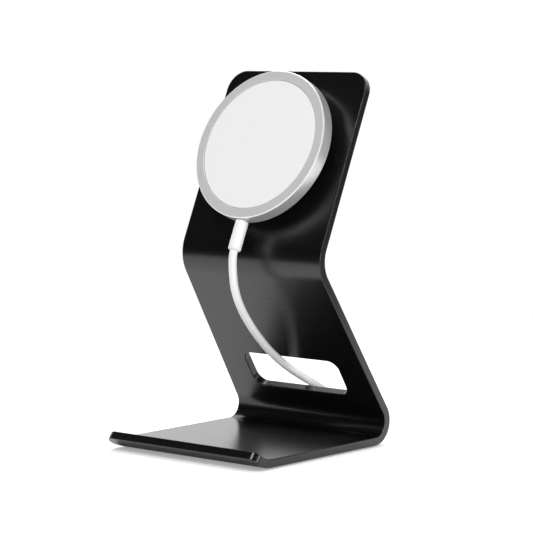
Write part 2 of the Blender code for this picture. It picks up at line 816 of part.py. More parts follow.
def make_plug():
    """Moulded plug body, its metal shell and the tongue inside, lying on the wound cord."""
    end, before = (Vector(p) * MM for p in (TAIL_ROUTE[-1], TAIL_ROUTE[-2]))
    way = end - before
    way.z = 0.0
    way.normalize()
    axis = bpy.data.objects.new("plug_axis", None)
    bpy.context.collection.objects.link(axis)
    axis.location = end + way * PLUG_FIT
    axis.rotation_euler = (math.pi / 2.0, 0.0, math.atan2(way.y, way.x) - math.pi / 2.0)

    def section(width, height, radius, along):
        return [(x, y, -along) for x, y in rounded_rectangle(width, height, radius, steps=4)]

    neck = CORD_DIAMETER + 2.0 * PLUG_NECK_WALL
    nose = PLUG_NOSE_CHAMFER
    lofted("plug_body", [
        section(neck, neck, neck * 0.4, 0.0),
        section(PLUG_BODY_WIDTH, PLUG_BODY_HEIGHT, PLUG_BODY_ROUNDING, PLUG_TAPER_LENGTH),
        section(PLUG_BODY_WIDTH, PLUG_BODY_HEIGHT, PLUG_BODY_ROUNDING, PLUG_BODY_LENGTH - nose),
        section(PLUG_BODY_WIDTH - 2.0 * nose, PLUG_BODY_HEIGHT - 2.0 * nose,
                PLUG_BODY_ROUNDING - nose, PLUG_BODY_LENGTH),
    ], white_plastic(), axis)
    start = PLUG_BODY_LENGTH + PLUG_FIT
    round_end = SHELL_HEIGHT / 2.0 - 0.05 * MM
    bore = (SHELL_WIDTH - 2.0 * SHELL_WALL, SHELL_HEIGHT - 2.0 * SHELL_WALL)
    sections = [
        section(SHELL_WIDTH, SHELL_HEIGHT, round_end, start),
        section(SHELL_WIDTH, SHELL_HEIGHT, round_end, start + SHELL_LENGTH),
        section(*bore, round_end - SHELL_WALL, start + SHELL_LENGTH),
        section(*bore, round_end - SHELL_WALL, start + SHELL_FLOOR),
    ]
    lofted("plug_shell", sections, steel(), axis)
    tongue = start + SHELL_FLOOR + TONGUE_FIT
    lofted("plug_tongue", [
        section(TONGUE_WIDTH, TONGUE_THICKNESS, 0.2 * MM, tongue),
        section(TONGUE_WIDTH, TONGUE_THICKNESS, 0.2 * MM, tongue + TONGUE_LENGTH),
    ], black_plastic(), axis)


def main():
    clear_scene()
    plate = make_stand_plate()
    cut_window(plate)
    make_feet()
    axis = make_puck_axis()
    rear = bpy.data.objects.new("puck_rear", None)
    bpy.context.collection.objects.link(rear)
    rear.parent = axis
    rear.location.z = make_standoff(axis)
    make_ring(rear)
    make_face(rear)
    make_cover(rear)
    make_magnets(rear)
    make_inner_discs(rear)
    make_board(rear)
    make_strain_relief(rear)
    make_cord_tube("cord_tube", FRONT_ROUTE)
    make_wound_cord()
    make_tie()
    make_cord_tube("cord_tail", TAIL_ROUTE)
    make_plug()


main()
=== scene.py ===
import math

import bmesh
import bpy
from mathutils import Matrix, Vector
from mathutils.geometry import tessellate_polygon


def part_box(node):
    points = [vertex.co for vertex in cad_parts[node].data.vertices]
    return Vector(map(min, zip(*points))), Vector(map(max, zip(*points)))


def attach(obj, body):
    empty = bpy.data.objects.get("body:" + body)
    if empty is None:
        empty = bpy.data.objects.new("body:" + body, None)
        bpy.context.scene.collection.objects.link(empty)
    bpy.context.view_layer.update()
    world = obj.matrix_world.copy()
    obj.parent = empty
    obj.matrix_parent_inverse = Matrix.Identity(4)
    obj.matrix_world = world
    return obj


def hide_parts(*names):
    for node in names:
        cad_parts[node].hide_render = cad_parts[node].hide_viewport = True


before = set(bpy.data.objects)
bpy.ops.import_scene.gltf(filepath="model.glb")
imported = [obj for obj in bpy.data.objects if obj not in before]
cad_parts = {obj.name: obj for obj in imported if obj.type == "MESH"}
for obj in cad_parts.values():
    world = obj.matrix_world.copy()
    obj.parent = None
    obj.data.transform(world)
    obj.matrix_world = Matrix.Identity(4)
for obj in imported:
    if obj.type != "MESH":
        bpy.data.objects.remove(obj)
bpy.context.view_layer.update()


# VIEWPOINT
# The stand is seen from its right front, a little above the table, through a long lens.
# The place and turn of the camera come from a fit of the folded sheet and the puck.
view_azimuth, view_elevation, view_roll = math.radians(40.17), math.radians(5.47), math.radians(0.09)
camera_data = bpy.data.cameras.new("viewpoint")
camera_data.sensor_width = 36.0
camera_data.lens = 157.339
camera_data.clip_start, camera_data.clip_end = 0.02, 20.0
camera = bpy.data.objects.new("viewpoint", camera_data)
bpy.context.scene.collection.objects.link(camera)
backwards = Vector((
    math.sin(view_azimuth) * math.cos(view_elevation),
    -math.cos(view_azimuth) * math.cos(view_elevation),
    math.sin(view_elevation),
))
sideways = Vector((math.cos(view_azimuth), math.sin(view_azimuth), 0.0))
upwards = backwards.cross(sideways)
right = sideways * math.cos(view_roll) + upwards * math.sin(view_roll)
top = upwards * math.cos(view_roll) - sideways * math.sin(view_roll)
camera.matrix_world = (
    Matrix.Translation((0.53133, -0.61980, 0.14249))
    @ Matrix((right, top, backwards)).transposed().to_4x4()
)
bpy.context.scene.camera = camera
bpy.context.scene.view_settings.view_transform = "Standard"


# FOLDED SHEET
# The stand is one strip of 3 mm aluminium: cut with its window, edges broken, then folded into
# lip, base and two panels. It is fine bead-blasted and anodised black, cut edges included.
sheet_thickness = 0.0030
half_sheet = sheet_thickness / 2
edge_round = 0.0003
base_half, upper_half = 0.0345, 0.0319
lip_corner, top_corner = 0.0030, 0.0075
lip_turn, lower_lean, upper_lean = math.radians(36.0), math.radians(32.6), math.radians(23.9)
lip_length, base_length, lower_length, upper_length = 0.0030, 0.05744, 0.0578, 0.0654
lip_bend, rear_bend, middle_bend = 0.00805, 0.0053, 0.0102  # radius inside the bend
runs = [  # length along the middle of the sheet, and turn
    (lip_length, 0.0),
    ((lip_bend + half_sheet) * lip_turn, lip_turn),
    (base_length, 0.0),
    ((rear_bend + half_sheet) * (math.pi / 2 + lower_lean), math.pi / 2 + lower_lean),
    (lower_length, 0.0),
    ((middle_bend + half_sheet) * (lower_lean + upper_lean), -(lower_lean + upper_lean)),
    (upper_length, 0.0),
]
starts = [0.0]
for length, _ in runs:
    starts.append(starts[-1] + length)
window_width, window_height, window_corner, window_above_bend = 0.0435, 0.0152, 0.0040, 0.0065


def along_the_fold(distance):
    """Place (y, z) and heading of the sheet's middle at a distance from the lip's tip."""
    y = z = 0.0
    heading = -lip_turn
    for length, turn in runs:
        part = min(max(distance, 0.0), length)
        if turn:
            radius, after = length / turn, heading + turn * part / length
            y += radius * (math.sin(after) - math.sin(heading))
            z -= radius * (math.cos(after) - math.cos(heading))
            heading = after
        else:
            y += part * math.cos(heading)
            z += part * math.sin(heading)
        distance -= length
        if distance <= 0.0:
            break
    return y, z, heading


base_middle = 0.0020  # height of the base's middle: the feet under it and half the sheet
sheet_low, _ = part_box("stand_plate")
sheet_shift_y = sheet_low.y - along_the_fold(0.0)[0] + (half_sheet - edge_round) * math.sin(lip_turn)
sheet_shift_z = base_middle - along_the_fold(starts[2])[1]


def on_the_sheet(x, distance, out):
    """A point of the folded sheet: across it, along it, and out of its middle."""
    y, z, heading = along_the_fold(distance)
    return Vector((
        x, y + sheet_shift_y - out * math.sin(heading), z + sheet_shift_z + out * math.cos(heading),
    ))


def facing(across, along, out, distance):
    """A direction in the sheet's own terms, turned with the fold."""
    heading = along_the_fold(distance)[2]
    return Vector((
        across,
        along * math.cos(heading) - out * math.sin(heading),
        along * math.sin(heading) + out * math.cos(heading),
    )).normalized()


def strip_edge(inset):
    """(half width, distance, edge facing across, edge facing along) down the strip's right edge."""
    found = []
    for step in range(17):
        turn = step / 16 * math.pi / 2
        reach = lip_corner - inset
        found.append((
            base_half - lip_corner + reach * math.sin(turn), inset + reach * (1 - math.cos(turn)),
            math.sin(turn), -math.cos(turn),
        ))
    for (length, turn), start in zip(runs, starts):
        count = max(1, round(abs(turn) / math.radians(1.5)))
        for step in range(1, count + 1):
            distance = start + length * step / count
            if lip_corner + 0.0002 < distance < starts[-1] - top_corner - 0.0002:
                share = min(max((distance - starts[4]) / (starts[5] - starts[4]), 0.0), 1.0)
                half = base_half + (upper_half - base_half) * share
                taper = (base_half - upper_half) / (starts[5] - starts[4]) if 0 < share < 1 else 0.0
                found.append((half - inset, distance, 1.0, taper))
    for step in range(25):
        turn = step / 24 * math.pi / 2
        reach = top_corner - inset
        found.append((
            upper_half - top_corner + reach * math.cos(turn),
            starts[-1] - top_corner + reach * math.sin(turn),
            math.cos(turn), math.sin(turn),
        ))
    return found


def window_edge(inset):
    """(across, distance, facing across, facing along) round the window, grown by an inset."""
    middle = starts[4] + window_above_bend + window_height / 2
    found = []
    for corner in range(4):
        x = (window_width / 2 - window_corner) * (1 if corner in (0, 3) else -1)
        y = (window_height / 2 - window_corner) * (1 if corner in (0, 1) else -1)
        for step in range(13):
            turn = (corner + step / 12) * math.pi / 2
            c, s = math.cos(turn), math.sin(turn)
            reach = window_corner + inset
            found.append((x + reach * c, middle + y + reach * s, -c, -s))
    return found


round_steps = 4
edge_section = []  # (inset, out of the middle, tilt) from the rear face round to the front face
for step in range(round_steps + 1):
    tilt = -math.pi / 2 * (1 - step / round_steps)
    edge_section.append((edge_round * (1 - math.cos(tilt)),
                         -half_sheet + edge_round * (1 + math.sin(tilt)), tilt))
for step in range(round_steps + 1):
    tilt = math.pi / 2 * step / round_steps
    edge_section.append((edge_round * (1 - math.cos(tilt)),
                         half_sheet - edge_round * (1 - math.sin(tilt)), tilt))

sheet_points, sheet_facings, sheet_cut, sheet_faces = [], [], [], []


def add_loop(edge, side, tilt, out):
    """Adds one line of points along an edge, and returns their numbers."""
    numbers = []
    for x, distance, across, along in edge:
        numbers.append(len(sheet_points))
        sheet_points.append(on_the_sheet(side * x, distance, out))
        sheet_facings.append(facing(
            side * across * math.cos(tilt), along * math.cos(tilt), math.sin(tilt), distance,
        ))
        sheet_cut.append(math.cos(tilt) if abs(tilt) < math.pi / 2 - 0.001 else 0.0)
    return numbers


right_lines, left_lines, window_lines = [], [], []
for inset, out, tilt in edge_section:
    right_lines.append(add_loop(strip_edge(inset), 1, tilt, out))
    left_lines.append(add_loop(strip_edge(inset), -1, tilt, out))
    window_lines.append(add_loop(window_edge(inset), 1, tilt, out))
count = len(right_lines[0])
for layer in range(len(edge_section) - 1):
    low_right, high_right = right_lines[layer], right_lines[layer + 1]
    low_left, high_left = left_lines[layer], left_lines[layer + 1]
    for k in range(count - 1):
        sheet_faces.append((low_right[k], low_right[k + 1], high_right[k + 1], high_right[k]))
        sheet_faces.append((low_left[k + 1], low_left[k], high_left[k], high_left[k + 1]))
    sheet_faces.append((low_left[0], low_right[0], high_right[0], high_left[0]))
    sheet_faces.append((low_right[-1], low_left[-1], high_left[-1], high_right[-1]))
    low, high = window_lines[layer], window_lines[layer + 1]
    for k in range(len(low)):
        after = (k + 1) % len(low)
        sheet_faces.append((low[after], low[k], high[k], high[after]))
edge = strip_edge(edge_round)
panel_foot = min(range(count), key=lambda k: abs(edge[k][1] - starts[4]))
panel_head = min(range(count), key=lambda k: abs(edge[k][1] - starts[5]))
for layer, flip in ((0, True), (len(edge_section) - 1, False)):
    to_right, to_left, hole = right_lines[layer], left_lines[layer], window_lines[layer]
    for k in range(count - 1):
        if not panel_foot <= k < panel_head:
            face = (to_left[k], to_right[k], to_right[k + 1], to_left[k + 1])
            sheet_faces.append(face[::-1] if flip else face)
    rim = to_right[panel_foot:panel_head + 1] + to_left[panel_foot:panel_head + 1][::-1]
    loops = [[sheet_points[n] for n in rim], [sheet_points[n] for n in hole[::-1]]]
    numbers = rim + hole[::-1]
    wanted = sheet_facings[rim[0]]
    for corner in tessellate_polygon(loops):
        a, b, c = (numbers[n] for n in corner)
        turned_in = (sheet_points[b] - sheet_points[a]).cross(sheet_points[c] - sheet_points[a])
        sheet_faces.append((a, b, c) if turned_in.dot(wanted) > 0 else (a, c, b))

sheet_mesh = bpy.data.meshes.new("folded_sheet")
sheet_mesh.from_pydata(sheet_points, [], sheet_faces)
sheet_mesh.shade_smooth()
cut = sheet_mesh.attributes.new("cut_edge", "FLOAT", "POINT")
cut.data.foreach_set("value", sheet_cut)
sheet_mesh.normals_split_custom_set_from_vertices(sheet_facings)
folded_sheet = bpy.data.objects.new("folded_sheet", sheet_mesh)
bpy.context.scene.collection.objects.link(folded_sheet)


def new_finish(name, colour, roughness, metallic=0.0):
    """A material with its shader's plain values set, its node tree and its shader."""
    material = bpy.data.materials.new(name)
    material.use_nodes = True
    shader = material.node_tree.nodes["Principled BSDF"]
    shader.inputs["Base Color"].default_value = (*colour, 1.0)
    shader.inputs["Roughness"].default_value = roughness
    shader.inputs["Metallic"].default_value = metallic
    return material, material.node_tree, shader


def grain(tree, scale, detail=2.0, stretch=(1.0, 1.0, 1.0)):
    """Noise in the piece's own metres: the pattern that blasting, moulding or brushing leaves."""
    place = tree.nodes.new("ShaderNodeTexCoord")
    spread = tree.nodes.new("ShaderNodeMapping")
    spread.inputs["Scale"].default_value = stretch
    noise = tree.nodes.new("ShaderNodeTexNoise")
    noise.inputs["Scale"].default_value = scale
    noise.inputs["Detail"].default_value = detail
    tree.links.new(place.outputs["Object"], spread.inputs["Vector"])
    tree.links.new(spread.outputs["Vector"], noise.inputs["Vector"])
    return noise.outputs["Fac"]


def between(tree, amount, low, high, start=0.35, end=0.65):
    """A value that goes from low to high as an amount goes from start to end."""
    ramp = tree.nodes.new("ShaderNodeMapRange")
    ramp.inputs["From Min"].default_value = start
    ramp.inputs["From Max"].default_value = end
    ramp.inputs["To Min"].default_value = low
    ramp.inputs["To Max"].default_value = high
    tree.links.new(amount, ramp.inputs["Value"])
    return ramp.outputs["Result"]


def tinted(tree, amount, one, other):
    """A colour that goes from one to another as an amount goes from 0 to 1."""
    mix = tree.nodes.new("ShaderNodeMix")
    mix.data_type = "RGBA"
    mix.inputs["A"].default_value = (*one, 1.0)
    mix.inputs["B"].default_value = (*other, 1.0)
    tree.links.new(amount, mix.inputs["Factor"])
    return mix.outputs["Result"]


def raised(tree, shader, height, depth, strength=1.0):
    """Lets a height pattern, depth metres deep, turn the surface's shading."""
    bump = tree.nodes.new("ShaderNodeBump")
    bump.inputs["Distance"].default_value = depth
    bump.inputs["Strength"].default_value = strength
    tree.links.new(height, bump.inputs["Height"])
    tree.links.new(bump.outputs["Normal"], shader.inputs["Normal"])


black_anodised, tree, shader = new_finish("black_anodised", (0.002, 0.002, 0.0021), 0.30)
shader.inputs["IOR"].default_value = 1.58
shader.inputs["Coat Weight"].default_value = 0.6
shader.inputs["Coat Roughness"].default_value = 0.25
shader.inputs["Coat IOR"].default_value = 1.35
cloudy = grain(tree, 40.0, 0.0)
blasted = grain(tree, 1100.0, 1.0)
tree.links.new(tinted(tree, cloudy, (0.0016, 0.0016, 0.0017), (0.0025, 0.0025, 0.0027)),
               shader.inputs["Base Color"])
cut_share = tree.nodes.new("ShaderNodeAttribute")
cut_share.attribute_name = "cut_edge"
smoother = tree.nodes.new("ShaderNodeMath")
smoother.operation = "MULTIPLY_ADD"
smoother.inputs[1].default_value = -0.02
tree.links.new(cut_share.outputs["Fac"], smoother.inputs[0])
tree.links.new(between(tree, cloudy, 0.26, 0.30, 0.0, 1.0), smoother.inputs[2])
slant = tree.nodes.new("ShaderNodeLayerWeight")
glancing = tree.nodes.new("ShaderNodeMath")
glancing.operation = "MULTIPLY"
tree.links.new(smoother.outputs["Value"], glancing.inputs[0])
tree.links.new(between(tree, slant.outputs["Facing"], 1.0, 0.6, 0.68, 0.9), glancing.inputs[1])
tree.links.new(glancing.outputs["Value"], shader.inputs["Roughness"])
raised(tree, shader, blasted, 0.000004, 0.3)
sheet_mesh.materials.append(black_anodised)
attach(folded_sheet, "root")
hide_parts("stand_plate")


# FEET
# Four silicone discs under the corners of the base keep it off the table and from sliding.
# They are die-cut from sheet, a little rounded at the rim, and stuck on.


def eased(outline, radius, steps=4):
    """A closed outline with each of its corners rounded, as far as its sides allow."""
    made = []
    for k, corner in enumerate(outline):
        before, after = Vector(outline[k - 1]), Vector(outline[(k + 1) % len(outline)])
        here = Vector(corner)
        if here.x < 1e-9:
            made.append(tuple(here))
            continue
        to_before, to_after = before - here, after - here
        reach = min(radius, to_before.length * 0.49, to_after.length * 0.49)
        one, other = here + to_before.normalized() * reach, here + to_after.normalized() * reach
        for step in range(steps + 1):
            t = step / steps
            made.append(tuple(one * (1 - t) ** 2 + here * 2 * t * (1 - t) + other * t * t))
    return made


def turned(name, outline, place, segments=96):
    """A solid turned about its own Z, in metres, from a closed outline of (radius, height)."""
    shape = bmesh.new()
    rings = []
    for radius, height in outline:
        if radius < 1e-9:
            rings.append([shape.verts.new((0.0, 0.0, height))])
        else:
            rings.append([
                shape.verts.new((radius * math.cos(2 * math.pi * k / segments),
                                 radius * math.sin(2 * math.pi * k / segments), height))
                for k in range(segments)
            ])
    for ring, other in zip(rings, rings[1:] + rings[:1]):
        if len(ring) == 1 and len(other) == 1:
            continue
        for k in range(segments):
            after = (k + 1) % segments
            if len(ring) == 1:
                shape.faces.new((ring[0], other[k], other[after]))
            elif len(other) == 1:
                shape.faces.new((ring[k], ring[after], other[0]))
            else:
                shape.faces.new((ring[k], ring[after], other[after], other[k]))
    return finished(name, shape, place)


def finished(name, shape, place, sharp=40.0):
    """A piece from a finished shape: faces outwards, smooth but for its sharp edges, in place."""
    bmesh.ops.recalc_face_normals(shape, faces=shape.faces)
    mesh = bpy.data.meshes.new(name)
    shape.to_mesh(mesh)
    shape.free()
    mesh.shade_smooth()
    mesh.set_sharp_from_angle(angle=math.radians(sharp))
    piece = bpy.data.objects.new(name, mesh)
    bpy.context.scene.collection.objects.link(piece)
    piece.matrix_world = place
    flat = piece.modifiers.new("even_shading", "WEIGHTED_NORMAL")
    flat.keep_sharp = True
    return piece


grey_silicone, tree, shader = new_finish("grey_silicone", (0.045, 0.045, 0.046), 0.62)
rubbed = grain(tree, 700.0, 3.0)
tree.links.new(tinted(tree, rubbed, (0.038, 0.038, 0.039), (0.055, 0.055, 0.056)),
               shader.inputs["Base Color"])
tree.links.new(between(tree, rubbed, 0.55, 0.72), shader.inputs["Roughness"])
raised(tree, shader, rubbed, 0.00002)
for foot in ("front_left", "front_right", "rear_left", "rear_right"):
    low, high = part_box("foot_" + foot)
    radius, height = (high.x - low.x) / 2, high.z - low.z
    disc = turned("silicone_foot_" + foot, eased([
        (0.0, 0.0), (radius * 0.93, 0.0), (radius, height * 0.3), (radius, height), (0.0, height),
    ], 0.00012), Matrix.Translation(((low.x + high.x) / 2, (low.y + high.y) / 2, low.z)), 64)
    disc.data.materials.append(grey_silicone)
    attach(disc, "root")
    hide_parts("foot_" + foot)


# STANDOFF AND ITS ADHESIVE PADS
# A moulded black disc holds the puck off the panel. A round foam pad with adhesive on both
# sides fixes it to the panel, and another fixes the puck to it.
puck_rear = (0.0, 0.0101097, 0.1052283)
puck_place = Matrix.Translation(puck_rear) @ Matrix((
    (1.0, 0.0, 0.0), (0.0, 0.405141, -0.914254), (0.0, 0.914254, 0.405141),
)).to_4x4()  # on the puck's rear face: X across, Y up the panel, Z forwards

black_plastic, tree, shader = new_finish("black_plastic", (0.02, 0.02, 0.021), 0.5)
moulded = grain(tree, 1500.0, 2.0)
tree.links.new(tinted(tree, moulded, (0.016, 0.016, 0.017), (0.025, 0.025, 0.026)),
               shader.inputs["Base Color"])
tree.links.new(between(tree, moulded, 0.45, 0.58), shader.inputs["Roughness"])
raised(tree, shader, moulded, 0.00001)
standoff_radius, standoff_rear, standoff_front, standoff_chamfer = 0.0200, -0.0042, -0.0009, 0.0006
standoff = turned("puck_standoff_disc", eased([
    (0.0, standoff_rear), (standoff_radius, standoff_rear),
    (standoff_radius, standoff_front - standoff_chamfer),
    (standoff_radius - standoff_chamfer, standoff_front), (0.0, standoff_front),
], 0.00025), puck_place)
standoff.data.materials.append(black_plastic)
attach(standoff, "root")
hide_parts("puck_standoff")

adhesive_foam, tree, shader = new_finish("adhesive_foam", (0.06, 0.06, 0.06), 0.9)
cells = tree.nodes.new("ShaderNodeTexVoronoi")
cells.inputs["Scale"].default_value = 2600.0
where = tree.nodes.new("ShaderNodeTexCoord")
tree.links.new(where.outputs["Object"], cells.inputs["Vector"])
tree.links.new(tinted(tree, cells.outputs["Distance"], (0.035, 0.035, 0.035), (0.10, 0.10, 0.10)),
               shader.inputs["Base Color"])
raised(tree, shader, cells.outputs["Distance"], 0.00008)
pad_radius, pad_thickness, pad_bulge = 0.0190, 0.0005, 0.0002
for node, height in (("panel_pad", -0.0049), ("puck_pad", -0.0007)):
    pad = turned("foam_" + node, eased([
        (0.0, height), (pad_radius - pad_bulge, height), (pad_radius, height + pad_thickness / 2),
        (pad_radius - pad_bulge, height + pad_thickness), (0.0, height + pad_thickness),
    ], 0.0001), puck_place)
    pad.data.materials.append(adhesive_foam)
    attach(pad, "root")
    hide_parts(node)


# PUCK HOUSING
# A turned aluminium ring with a flat front lip, and a thin cover let into it from behind, both
# clear anodised. The ring's wall and the cover are finely brushed round the axis, the lip is
# blasted, and the ring's chamfered edges are cut bright after that.
bare_aluminium, tree, shader = new_finish("bare_aluminium", (0.84, 0.85, 0.83), 0.36, 0.78)
where = tree.nodes.new("ShaderNodeTexCoord")
apart = tree.nodes.new("ShaderNodeSeparateXYZ")
tree.links.new(where.outputs["Object"], apart.inputs["Vector"])
from_axis = tree.nodes.new("ShaderNodeVectorMath")
from_axis.operation = "LENGTH"
flattened = tree.nodes.new("ShaderNodeCombineXYZ")
tree.links.new(apart.outputs["X"], flattened.inputs["X"])
tree.links.new(apart.outputs["Y"], flattened.inputs["Y"])
tree.links.new(flattened.outputs["Vector"], from_axis.inputs[0])
lined_up = tree.nodes.new("ShaderNodeCombineXYZ")
tree.links.new(from_axis.outputs["Value"], lined_up.inputs["X"])
tree.links.new(apart.outputs["Z"], lined_up.inputs["Y"])
lines = tree.nodes.new("ShaderNodeTexNoise")
lines.inputs["Scale"].default_value = 5200.0
lines.inputs["Detail"].default_value = 2.0
tree.links.new(lined_up.outputs["Vector"], lines.inputs["Vector"])
tree.links.new(tinted(tree, lines.outputs["Fac"], (0.82, 0.83, 0.81), (0.87, 0.88, 0.86)),
               shader.inputs["Base Color"])
tree.links.new(between(tree, lines.outputs["Fac"], 0.32, 0.40), shader.inputs["Roughness"])
raised(tree, shader, lines.outputs["Fac"], 0.0000012, 0.5)
lip_aluminium, tree, shader = new_finish("lip_aluminium", (0.74, 0.75, 0.735), 0.5, 0.4)
blasted = grain(tree, 4200.0, 2.0)
tree.links.new(tinted(tree, blasted, (0.72, 0.733, 0.718), (0.76, 0.772, 0.757)),
               shader.inputs["Base Color"])
tree.links.new(between(tree, blasted, 0.46, 0.54), shader.inputs["Roughness"])
raised(tree, shader, blasted, 0.0000015, 0.4)

cut_aluminium, tree, shader = new_finish("cut_aluminium", (0.86, 0.87, 0.85), 0.4, 0.35)
turned_marks = grain(tree, 2600.0, 1.0)
tree.links.new(tinted(tree, turned_marks, (0.84, 0.85, 0.83), (0.88, 0.89, 0.87)),
               shader.inputs["Base Color"])
tree.links.new(between(tree, turned_marks, 0.36, 0.44), shader.inputs["Roughness"])

puck_radius, ring_wall, lip_width = 0.02795, 0.0010, 0.0036
ring_front, ring_lip = 0.0053, 0.0043
rear_chamfer, front_chamfer, inner_chamfer = 0.0004, 0.00035, 0.00012
lip_radius = puck_radius - lip_width
ring = turned("brushed_ring", eased([
    (puck_radius - rear_chamfer, 0.0), (puck_radius, rear_chamfer),
    (puck_radius, ring_front - front_chamfer), (puck_radius - front_chamfer, ring_front),
    (lip_radius + inner_chamfer, ring_front), (lip_radius, ring_front - inner_chamfer),
    (lip_radius, ring_lip), (puck_radius - ring_wall, ring_lip), (puck_radius - ring_wall, 0.0),
], 0.00008, 3), puck_place, 192)
ring.data.materials.append(bare_aluminium)
ring.data.materials.append(lip_aluminium)
ring.data.materials.append(cut_aluminium)
for side in ring.data.polygons:
    side.material_index = 1 if side.normal.z > 0.99 else 2 if side.normal.z > 0.2 else 0
cord_level, hole_radius = 0.00245, 0.00165
relief_place = puck_place @ Matrix.Translation((0.0, -puck_radius, cord_level)) @ Matrix.Rotation(
    math.pi / 2, 4, "X")  # on the ring's wall: Z out of it, down along the cord
drill = turned("drill", [
    (0.0, -0.003), (hole_radius, -0.003), (hole_radius, 0.001), (0.0, 0.001),
], relief_place, 48)
cord_hole = ring.modifiers.new("cord_hole", "BOOLEAN")
cord_hole.object = drill
ring.modifiers.move(1, 0)
bpy.context.view_layer.update()
drilled = bpy.data.meshes.new_from_object(ring.evaluated_get(bpy.context.evaluated_depsgraph_get()))
ring.modifiers.clear()
ring.data = drilled
bpy.data.objects.remove(drill)
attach(ring, "root")
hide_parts("puck_ring")

cover_radius, cover_thickness = 0.0268, 0.0006
cover = turned("rear_cover", eased([
    (0.0, 0.0), (cover_radius, 0.0), (cover_radius, cover_thickness), (0.0, cover_thickness),
], 0.00015, 3), puck_place, 128)
cover.data.materials.append(bare_aluminium)
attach(cover, "root")
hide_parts("puck_cover")


# MAGNETS AND YOKE
# Sixteen nickel-plated arc magnets stand on a thin steel ring inside the housing's wall.
# The ring of magnets is open at the bottom, where the cord's wires come in.
magnet_plating, tree, shader = new_finish("magnet_plating", (0.55, 0.55, 0.56), 0.3, 1.0)
plated = grain(tree, 900.0, 3.0)
tree.links.new(tinted(tree, plated, (0.48, 0.48, 0.49), (0.62, 0.61, 0.60)),
               shader.inputs["Base Color"])
tree.links.new(between(tree, plated, 0.24, 0.36), shader.inputs["Roughness"])
steel, tree, shader = new_finish("steel", (0.6, 0.6, 0.62), 0.25, 1.0)
rolled = grain(tree, 300.0, 2.0, (1.0, 4.0, 1.0))
tree.links.new(tinted(tree, rolled, (0.54, 0.54, 0.56), (0.66, 0.66, 0.68)),
               shader.inputs["Base Color"])
tree.links.new(between(tree, rolled, 0.2, 0.32), shader.inputs["Roughness"])


def refinish(node, material):
    """Gives a node that is kept as it is its material."""
    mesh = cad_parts[node].data
    mesh.materials.clear()
    mesh.materials.append(material)


for number in range(1, 17):
    refinish(f"magnet_{number:02d}", magnet_plating)
refinish("magnet_yoke", steel)


# CIRCUIT BOARD AND WHAT IS SOLDERED ON IT
# A round board with a flat for the cord's wires carries the controller under its steel can,
# a ferrite inductor and two tuning capacitors.
board_green, tree, shader = new_finish("board_green", (0.02, 0.12, 0.05), 0.35)
masked = grain(tree, 420.0, 4.0)
tree.links.new(tinted(tree, masked, (0.014, 0.09, 0.035), (0.026, 0.15, 0.06)),
               shader.inputs["Base Color"])
raised(tree, shader, masked, 0.00002)
ferrite, tree, shader = new_finish("ferrite", (0.03, 0.03, 0.035), 0.7)
pressed = grain(tree, 2200.0, 3.0)
tree.links.new(tinted(tree, pressed, (0.022, 0.022, 0.026), (0.045, 0.045, 0.05)),
               shader.inputs["Base Color"])
raised(tree, shader, pressed, 0.00001)
refinish("circuit_board", board_green)
refinish("controller_can", steel)
refinish("power_inductor", ferrite)
refinish("tuning_capacitor_1", black_plastic)
refinish("tuning_capacitor_2", black_plastic)


# COIL, ANTENNA AND SHIELD
# The charging coil is wound flat from enamelled copper wire, with the thin reading antenna
# round it. A ferrite disc behind them keeps the field from the board.
copper, tree, shader = new_finish("copper", (0.72, 0.32, 0.16), 0.35, 1.0)
where = tree.nodes.new("ShaderNodeTexCoord")
on_axis = tree.nodes.new("ShaderNodeVectorMath")
on_axis.operation = "SUBTRACT"
on_axis.inputs[1].default_value = puck_place.translation
tree.links.new(where.outputs["Object"], on_axis.inputs[0])
from_axis = tree.nodes.new("ShaderNodeVectorMath")
from_axis.operation = "LENGTH"
tree.links.new(on_axis.outputs["Vector"], from_axis.inputs[0])
wire_turns_and_painted_shade = tree.nodes.new("ShaderNodeMath")
wire_turns_and_painted_shade.operation = "PINGPONG"
wire_turns_and_painted_shade.inputs[1].default_value = 0.00025
tree.links.new(from_axis.outputs["Value"], wire_turns_and_painted_shade.inputs[0])
# Each turn of wire is painted bright copper in its middle and dark brown at its edges: painted shade
# in the grooves between the turns. The same pattern also drives the real bump of the turns.
tree.links.new(tinted(tree, between(tree, wire_turns_and_painted_shade.outputs["Value"], 0.0, 1.0, 0.0, 0.00025),
                      (0.36, 0.13, 0.06), (0.80, 0.38, 0.20)), shader.inputs["Base Color"])
raised(tree, shader, wire_turns_and_painted_shade.outputs["Value"], 1.0, 0.5)
refinish("charging_coil", copper)
refinish("reading_antenna", copper)
refinish("ferrite_shield", ferrite)


# FACE
# A white moulded disc closes the front, held behind the ring's lip by its thinner flange.
# It is almost flush with the ring, smooth and slightly soft to the touch.
white_plastic, tree, shader = new_finish("white_plastic", (0.86, 0.86, 0.86), 0.45)
satin = grain(tree, 1800.0, 2.0)
tree.links.new(tinted(tree, satin, (0.865, 0.865, 0.865), (0.885, 0.885, 0.885)),
               shader.inputs["Base Color"])
tree.links.new(between(tree, satin, 0.42, 0.50), shader.inputs["Roughness"])
raised(tree, shader, satin, 0.000003, 0.5)
face_radius, flange_radius = 0.0242, 0.0255
flange_rear, flange_front, face_front = 0.00375, 0.00415, 0.0052
face = turned("face_disc", eased([
    (0.0, flange_rear), (flange_radius, flange_rear), (flange_radius, flange_front),
    (face_radius, flange_front), (face_radius, face_front), (0.0, face_front),
], 0.00015, 4), puck_place, 192)
face.data.materials.append(white_plastic)
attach(face, "root")
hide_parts("puck_face")


